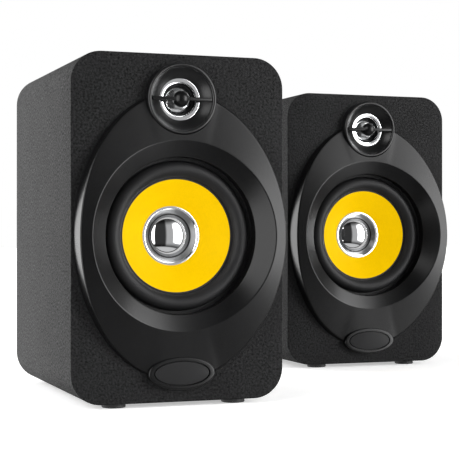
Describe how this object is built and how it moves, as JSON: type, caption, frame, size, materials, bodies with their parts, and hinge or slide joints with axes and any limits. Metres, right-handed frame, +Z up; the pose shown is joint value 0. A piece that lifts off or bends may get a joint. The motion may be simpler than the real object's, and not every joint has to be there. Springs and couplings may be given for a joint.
{
  "type": "desktop speaker pair",
  "caption": "Pair of two-way bookshelf speakers: powered main and passive satellite, oval bezels, yellow woofer cones, rear controls and link cable.",
  "frame": {"origin": "on the floor, at the centre of the box around the pair and its link cable", "axes": "+X to the right as seen by a listener in front, +Y towards the back, +Z up; both fronts face -Y"},
  "size_m": [0.372, 0.426, 0.228],
  "materials": {
    "vinyl_wrapped_mdf": "black fine-grain vinyl wrap over MDF, satin",
    "bezel_plastic": "satin black moulded ABS",
    "badge_plastic": "satin dark grey plate, blank",
    "basket_steel": "black powder-coated pressed steel",
    "zinc_steel": "zinc-plated steel",
    "ferrite": "dark grey sintered ferrite",
    "surround_rubber": "soft black rubber with a faint sheen",
    "cone_yellow": "yellow coated cone, satin",
    "chrome_plastic": "bright chrome plating",
    "coil_copper": "copper winding on a former",
    "spider_cloth": "resin-stiffened corrugated cloth",
    "dome_foil": "silver metallised dome",
    "black_plastic": "fine-textured black plastic",
    "knob_plastic": "satin black knob with a white pointer",
    "plate_metal": "black painted steel plate",
    "sink_aluminium": "extruded aluminium",
    "circuit_board": "green circuit board with soldered parts",
    "transformer_core": "varnished laminated core with a taped winding",
    "capacitor_film": "red film capacitor",
    "jack_metal": "nickel and gold plated phono sockets",
    "lever_red": "red moulded lever",
    "lever_black": "black moulded lever",
    "foot_rubber": "black rubber",
    "wadding_fibre": "loose white polyester fibre",
    "cable_sheath": "black PVC twin cable",
    "screw_steel": "black oxide steel"
  },
  "bodies": {
    "root": {"main_cabinet": "vinyl_wrapped_mdf", "main_bezel": "bezel_plastic", "main_badge": "badge_plastic", "main_woofer_basket": "basket_steel", "main_woofer_front_plate": "zinc_steel", "main_woofer_magnet": "ferrite", "main_woofer_yoke": "zinc_steel", "main_woofer_surround": "surround_rubber", "main_spider": "spider_cloth", "main_tweeter_horn": "bezel_plastic", "main_tweeter_ring": "chrome_plastic", "main_tweeter_bridge": "black_plastic", "main_tweeter_motor": "zinc_steel", "main_port_tube": "black_plastic", "satellite_cabinet": "vinyl_wrapped_mdf", "satellite_bezel": "bezel_plastic", "satellite_badge": "badge_plastic", "satellite_woofer_basket": "basket_steel", "satellite_woofer_front_plate": "zinc_steel", "satellite_woofer_magnet": "ferrite", "satellite_woofer_yoke": "zinc_steel", "satellite_woofer_surround": "surround_rubber", "satellite_spider": "spider_cloth", "satellite_tweeter_horn": "bezel_plastic", "satellite_tweeter_ring": "chrome_plastic", "satellite_tweeter_bridge": "black_plastic", "satellite_tweeter_motor": "zinc_steel", "satellite_port_tube": "black_plastic", "woofer_screws": "screw_steel", "rear_screws": "screw_steel", "rubber_feet": "foot_rubber", "wadding": "wadding_fibre", "tweeter_capacitors": "capacitor_film", "amp_plate": "plate_metal", "heat_sink": "sink_aluminium", "amp_board": "circuit_board", "transformer": "transformer_core", "rocker_housing": "black_plastic", "mains_inlet": "black_plastic", "input_jacks": "jack_metal", "main_terminal_block": "black_plastic", "satellite_terminal_block": "black_plastic", "link_cable": "cable_sheath"},
    "main_cone": {"main_woofer_cone": "cone_yellow", "main_dust_cap": "chrome_plastic", "main_voice_coil": "coil_copper"},
    "satellite_cone": {"satellite_woofer_cone": "cone_yellow", "satellite_dust_cap": "chrome_plastic", "satellite_voice_coil": "coil_copper"},
    "main_dome": {"main_tweeter_dome": "dome_foil"},
    "satellite_dome": {"satellite_tweeter_dome": "dome_foil"},
    "volume_knob": {"volume_knob": "knob_plastic"},
    "treble_knob": {"treble_knob": "knob_plastic"},
    "bass_knob": {"bass_knob": "knob_plastic"},
    "power_rocker": {"power_rocker": "black_plastic"},
    "main_red_lever": {"main_red_lever": "lever_red"},
    "main_black_lever": {"main_black_lever": "lever_black"},
    "satellite_red_lever": {"satellite_red_lever": "lever_red"},
    "satellite_black_lever": {"satellite_black_lever": "lever_black"}
  },
  "joints": [
    {"name": "cone_travel_main", "type": "slide", "parent": "root", "child": "main_cone", "axis": [0, -1, 0], "range_m": [-0.003, 0.003], "stiffness_N_per_m": 1200, "deforming": ["main_woofer_surround", "main_spider"]},
    {"name": "dome_travel_main", "type": "slide", "parent": "root", "child": "main_dome", "axis": [0, -1, 0], "range_m": [-0.0003, 0.0003], "stiffness_N_per_m": 1000},
    {"name": "cone_travel_satellite", "type": "slide", "parent": "root", "child": "satellite_cone", "axis": [0, -1, 0], "range_m": [-0.003, 0.003], "stiffness_N_per_m": 1200, "deforming": ["satellite_woofer_surround", "satellite_spider"]},
    {"name": "dome_travel_satellite", "type": "slide", "parent": "root", "child": "satellite_dome", "axis": [0, -1, 0], "range_m": [-0.0003, 0.0003], "stiffness_N_per_m": 1000},
    {"name": "knob_turn_volume", "type": "hinge", "parent": "root", "child": "volume_knob", "pos_m": [-0.078, -0.016, 0.132], "axis": [0, -1, 0], "range_deg": [0, 300]},
    {"name": "knob_turn_treble", "type": "hinge", "parent": "root", "child": "treble_knob", "pos_m": [-0.114, -0.016, 0.132], "axis": [0, -1, 0], "range_deg": [-150, 150]},
    {"name": "knob_turn_bass", "type": "hinge", "parent": "root", "child": "bass_knob", "pos_m": [-0.15, -0.016, 0.132], "axis": [0, -1, 0], "range_deg": [-150, 150]},
    {"name": "lever_press_main_red", "type": "hinge", "parent": "root", "child": "main_red_lever", "pos_m": [-0.1345, -0.013, 0.1008], "axis": [1, 0, 0], "range_deg": [0, 15]},
    {"name": "lever_press_main_black", "type": "hinge", "parent": "root", "child": "main_black_lever", "pos_m": [-0.1495, -0.013, 0.1008], "axis": [1, 0, 0], "range_deg": [0, 15]},
    {"name": "lever_press_satellite_red", "type": "hinge", "parent": "root", "child": "satellite_red_lever", "pos_m": [0.1215, 0.177, 0.0718], "axis": [1, 0, 0], "range_deg": [0, 15]},
    {"name": "lever_press_satellite_black", "type": "hinge", "parent": "root", "child": "satellite_black_lever", "pos_m": [0.1065, 0.177, 0.0718], "axis": [1, 0, 0], "range_deg": [0, 15]},
    {"name": "power_switch_rock", "type": "hinge", "parent": "root", "child": "power_rocker", "pos_m": [-0.156, -0.022, 0.062], "axis": [1, 0, 0], "range_deg": [0, 20]}
  ]
}
